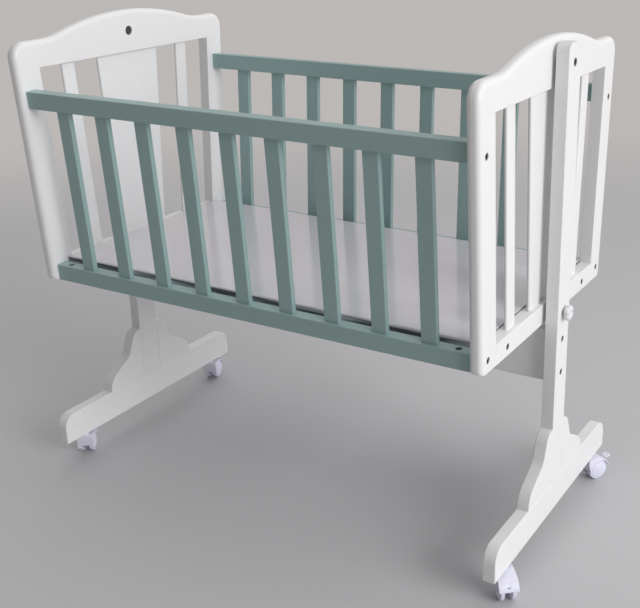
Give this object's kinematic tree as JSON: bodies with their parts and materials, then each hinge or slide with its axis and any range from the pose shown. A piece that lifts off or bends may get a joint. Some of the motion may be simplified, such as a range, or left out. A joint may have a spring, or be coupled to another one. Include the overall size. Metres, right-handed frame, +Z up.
{
  "type": "swinging cradle on stand",
  "caption": "Slatted baby cradle with arched end panels that swings between two posts on a wheeled stand, with a hand knob that locks it.",
  "frame": {"origin": "on the floor under the middle of the cradle", "axes": "+X along the cradle towards the lock knob's end, +Y across it towards the back, +Z up"},
  "size_m": [1.0027, 0.5492, 0.8635],
  "materials": {
    "white_paint": "satin white paint on board",
    "sage_paint": "satin grey-green paint on board",
    "deck_laminate": "glossy pale laminate on board",
    "dark_steel": "blackened steel",
    "zinc_steel": "zinc plated",
    "knob_plastic": "moulded, satin",
    "washer_nylon": "moulded, matt",
    "hood_plastic": "moulded, satin",
    "wheel_plastic": "moulded, satin"
  },
  "bodies": {
    "stand": {"near_post": "white_paint", "far_post": "white_paint", "near_foot": "white_paint", "far_foot": "white_paint", "foot_braces": "white_paint", "stretcher": "white_paint", "pivot_bolts": "dark_steel", "pivot_nuts": "dark_steel", "spacer_washers": "washer_nylon", "stretcher_bolts": "dark_steel", "stretcher_nuts": "dark_steel"},
    "cradle": {"near_crest_rail": "white_paint", "near_bottom_rail": "white_paint", "near_front_stile": "white_paint", "near_back_stile": "white_paint", "near_splat": "white_paint", "far_crest_rail": "white_paint", "far_bottom_rail": "white_paint", "far_front_stile": "white_paint", "far_back_stile": "white_paint", "far_splat": "white_paint", "end_slats": "white_paint", "front_top_rail": "sage_paint", "front_bottom_rail": "sage_paint", "back_top_rail": "sage_paint", "back_bottom_rail": "sage_paint", "front_slat_1": "sage_paint", "front_slat_2": "sage_paint", "front_slat_3": "sage_paint", "front_slat_4": "sage_paint", "front_slat_5": "sage_paint", "front_slat_6": "sage_paint", "front_slat_7": "sage_paint", "front_slat_8": "sage_paint", "front_slat_9": "sage_paint", "back_slat_1": "sage_paint", "back_slat_2": "sage_paint", "back_slat_3": "sage_paint", "back_slat_4": "sage_paint", "back_slat_5": "sage_paint", "back_slat_6": "sage_paint", "back_slat_7": "sage_paint", "back_slat_8": "sage_paint", "back_slat_9": "sage_paint", "deck_board": "deck_laminate", "deck_cleats": "white_paint", "cradle_bolts": "dark_steel", "barrel_nuts": "dark_steel"},
    "lock_shank": {"lock_shank": "zinc_steel"},
    "lock_knob": {"lock_knob": "knob_plastic"},
    "near_front_caster": {"near_front_caster": "hood_plastic"},
    "near_front_wheels": {"near_front_wheels": "wheel_plastic"},
    "near_back_caster": {"near_back_caster": "hood_plastic"},
    "near_back_wheels": {"near_back_wheels": "wheel_plastic"},
    "near_back_brake": {"near_back_brake": "hood_plastic"},
    "far_front_caster": {"far_front_caster": "hood_plastic"},
    "far_front_wheels": {"far_front_wheels": "wheel_plastic"},
    "far_back_caster": {"far_back_caster": "hood_plastic"},
    "far_back_wheels": {"far_back_wheels": "wheel_plastic"},
    "far_back_brake": {"far_back_brake": "hood_plastic"}
  },
  "joints": [
    {"name": "cradle_swing", "type": "hinge", "parent": "stand", "child": "cradle", "pos_m": [0, 0, 0.825], "axis": [1, 0, 0], "range_deg": [-10, 10]},
    {"name": "lock_travel", "type": "slide", "parent": "stand", "child": "lock_shank", "axis": [1, 0, 0], "range_m": [-0.0016, 0.005]},
    {"name": "lock_turn", "type": "hinge", "parent": "lock_shank", "child": "lock_knob", "pos_m": [0.475, 0, 0.42], "axis": [1, 0, 0], "range_deg": [-470, 1450]},
    {"name": "near_front_swivel", "type": "hinge", "parent": "stand", "child": "near_front_caster", "pos_m": [0.462, -0.196, 0.05], "axis": [0, 0, 1], "continuous": true},
    {"name": "near_front_roll", "type": "hinge", "parent": "near_front_caster", "child": "near_front_wheels", "pos_m": [0.47421, -0.21055, 0.02], "axis": [0.766, 0.6428, 0], "continuous": true},
    {"name": "near_back_swivel", "type": "hinge", "parent": "stand", "child": "near_back_caster", "pos_m": [0.462, 0.196, 0.05], "axis": [0, 0, 1], "continuous": true},
    {"name": "near_back_roll", "type": "hinge", "parent": "near_back_caster", "child": "near_back_wheels", "pos_m": [0.4715, 0.21245, 0.02], "axis": [-0.866, 0.5, 0], "continuous": true},
    {"name": "near_back_brake_press", "type": "hinge", "parent": "near_back_caster", "child": "near_back_brake", "pos_m": [0.478, 0.22371, 0.027], "axis": [-0.866, 0.5, 0], "range_deg": [0, 12]},
    {"name": "far_front_swivel", "type": "hinge", "parent": "stand", "child": "far_front_caster", "pos_m": [-0.462, -0.196, 0.05], "axis": [0, 0, 1], "continuous": true},
    {"name": "far_front_roll", "type": "hinge", "parent": "far_front_caster", "child": "far_front_wheels", "pos_m": [-0.47317, -0.18063, 0.02], "axis": [-0.809, -0.5878, 0], "continuous": true},
    {"name": "far_back_swivel", "type": "hinge", "parent": "stand", "child": "far_back_caster", "pos_m": [-0.462, 0.196, 0.05], "axis": [0, 0, 1], "continuous": true},
    {"name": "far_back_roll", "type": "hinge", "parent": "far_back_caster", "child": "far_back_wheels", "pos_m": [-0.46787, 0.21407, 0.02], "axis": [-0.9511, -0.309, 0], "continuous": true},
    {"name": "far_back_brake_press", "type": "hinge", "parent": "far_back_caster", "child": "far_back_brake", "pos_m": [-0.47189, 0.22643, 0.027], "axis": [-0.9511, -0.309, 0], "range_deg": [0, 12]}
  ],
  "couplings": [
    {"joint": "lock_turn", "follows": "lock_travel", "rad_per_m": 5026.5}
  ]
}
